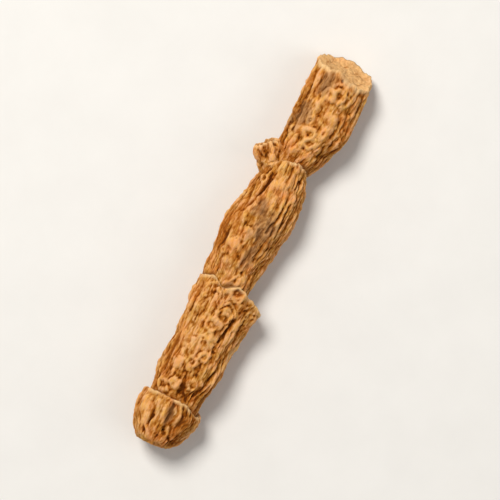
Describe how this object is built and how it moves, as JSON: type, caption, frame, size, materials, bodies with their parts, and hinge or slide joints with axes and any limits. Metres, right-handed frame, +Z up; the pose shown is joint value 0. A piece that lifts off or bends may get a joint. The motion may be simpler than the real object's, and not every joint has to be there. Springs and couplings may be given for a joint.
{
  "type": "calamus root",
  "caption": "Dried calamus rhizome: one slightly curved, wrinkled brown stick with leaf collars, rootlet scars, a rounded tip and a slanting broken end.",
  "frame": {"origin": "middle of the bounding box at the height of the surface that the root lies on", "axes": "+X along the root from its rounded tip to its broken end, +Y to the side that carries the side shoot, +Z up"},
  "size_m": [0.1142, 0.022, 0.0158],
  "materials": {
    "bark": "matt, dried and wrinkled ochre-brown skin"
  },
  "bodies": {
    "root": {"rhizome": "bark"}
  },
  "joints": []
}
